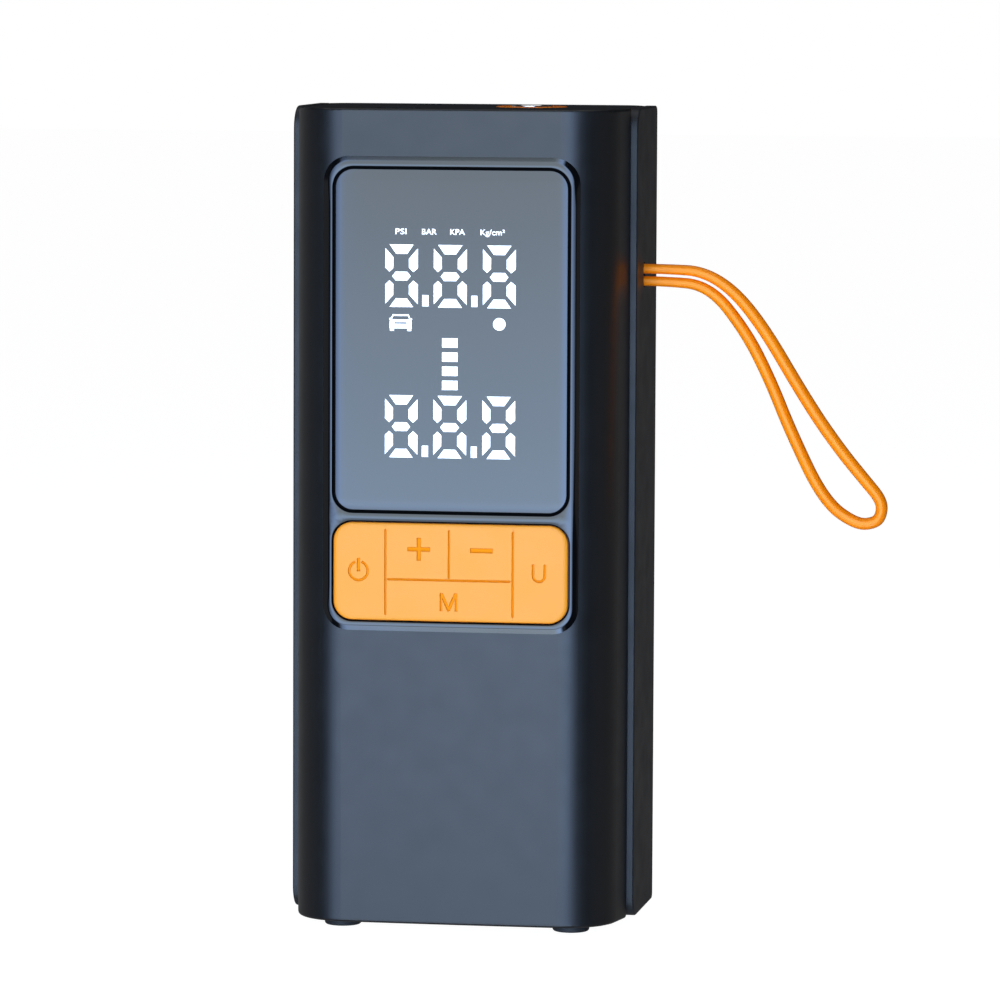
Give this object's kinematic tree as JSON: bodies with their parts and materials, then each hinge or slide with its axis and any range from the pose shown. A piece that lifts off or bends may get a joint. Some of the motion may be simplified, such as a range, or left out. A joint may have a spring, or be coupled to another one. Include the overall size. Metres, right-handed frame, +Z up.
{
  "type": "portable tire inflator",
  "caption": "Hand-held cordless tire inflator: tall dark case with a framed segment display, an orange key pad, an air outlet on top and a wrist cord at the side.",
  "frame": {"origin": "centre of the footprint of the case, without the cord, on the surface the feet stand on", "axes": "+Z up the case, X across the front with the cord on the +X side, -Y out of the display side"},
  "size_m": [0.1308, 0.05, 0.1803],
  "materials": {
    "case_plastic": "satin dark grey moulded plastic",
    "bezel_gloss": "gloss black",
    "display_black": "gloss black window over white segments",
    "key_orange": "satin orange",
    "ring_orange": "orange",
    "outlet_metal": "bright plated",
    "brass": "turned",
    "foot_rubber": "matte",
    "cord_orange": "smooth round cord",
    "board_green": "solder mask",
    "switch_black": "moulded",
    "module_white": "moulded reflector block",
    "port_steel": "nickel plated",
    "frame_black": "glass filled",
    "white_plastic": "natural white",
    "cell_wrap": "shrink wrapped",
    "screw_steel": "zinc plated",
    "shaft_steel": "ground",
    "motor_steel": "plated",
    "magnet": "sintered",
    "copper": "enamelled winding on laminations",
    "cast_alu": "die cast",
    "black_rubber": "matte",
    "wire_red": "silicone"
  },
  "bodies": {
    "housing": {"air_tube": "black_rubber", "battery_cells": "cell_wrap", "battery_trays": "frame_black", "bms_board": "board_green", "case_screws": "screw_steel", "cell_links": "screw_steel", "compressor_screws": "screw_steel", "crank_bearing": "brass", "cylinder": "cast_alu", "cylinder_head": "cast_alu", "display_bezel": "bezel_gloss", "display_lens": "display_black", "display_module": "module_white", "feet": "foot_rubber", "front_shell": "case_plastic", "gear_frame": "frame_black", "lanyard_anchor": "frame_black", "lanyard_cord": "cord_orange", "main_pcb": "board_green", "motor_can": "motor_steel", "motor_cradle": "black_rubber", "motor_end_cap": "switch_black", "motor_magnets": "magnet", "outlet_nozzle": "outlet_metal", "outlet_nut": "brass", "outlet_ring": "ring_orange", "pcb_screws": "screw_steel", "pressure_sensor": "switch_black", "rear_shell": "case_plastic", "sensor_tube": "brass", "side_panel_left": "case_plastic", "side_panel_right": "case_plastic", "tact_switches": "switch_black", "top_cover": "case_plastic", "usb_port": "port_steel", "valve_leaf": "shaft_steel", "wiring": "wire_red"},
    "key_power": {"key_power": "key_orange", "plunger_power": "white_plastic"},
    "key_plus": {"key_plus": "key_orange", "plunger_plus": "white_plastic"},
    "key_minus": {"key_minus": "key_orange", "plunger_minus": "white_plastic"},
    "key_mode": {"key_mode": "key_orange", "plunger_mode": "white_plastic"},
    "key_unit": {"key_unit": "key_orange", "plunger_unit": "white_plastic"},
    "rotor": {"motor_shaft": "shaft_steel", "motor_armature": "copper", "motor_pinion": "shaft_steel"},
    "crank": {"drive_gear": "white_plastic", "crank_shaft": "shaft_steel", "shaft_clip": "screw_steel"},
    "piston": {"piston": "cast_alu", "piston_seal": "black_rubber", "wrist_pin": "shaft_steel"},
    "rod": {"connecting_rod": "cast_alu", "crank_pin": "shaft_steel"}
  },
  "joints": [
    {"name": "power_press", "type": "slide", "parent": "housing", "child": "key_power", "axis": [0, 1, 0], "range_m": [0, 0.0005], "stiffness_N_per_m": 1200},
    {"name": "plus_press", "type": "slide", "parent": "housing", "child": "key_plus", "axis": [0, 1, 0], "range_m": [0, 0.0005], "stiffness_N_per_m": 1200},
    {"name": "minus_press", "type": "slide", "parent": "housing", "child": "key_minus", "axis": [0, 1, 0], "range_m": [0, 0.0005], "stiffness_N_per_m": 1200},
    {"name": "mode_press", "type": "slide", "parent": "housing", "child": "key_mode", "axis": [0, 1, 0], "range_m": [0, 0.0005], "stiffness_N_per_m": 1200},
    {"name": "unit_press", "type": "slide", "parent": "housing", "child": "key_unit", "axis": [0, 1, 0], "range_m": [0, 0.0005], "stiffness_N_per_m": 1200},
    {"name": "rotor_spin", "type": "hinge", "parent": "housing", "child": "rotor", "pos_m": [0.01, 0.00417, 0.098], "axis": [1, 0, 0], "continuous": true},
    {"name": "crank_spin", "type": "hinge", "parent": "housing", "child": "crank", "pos_m": [-0.007, 0.00417, 0.116], "axis": [1, 0, 0], "continuous": true},
    {"name": "piston_slide", "type": "slide", "parent": "housing", "child": "piston", "axis": [0, 0, 1], "range_m": [0, 0.012]},
    {"name": "rod_swing", "type": "hinge", "parent": "piston", "child": "rod", "pos_m": [-0.0128, 0.00417, 0.136], "axis": [1, 0, 0], "range_deg": [-13.3, 13.3]}
  ],
  "couplings": [
    {"joint": "crank_spin", "follows": "rotor_spin", "ratio": -0.25}
  ]
}
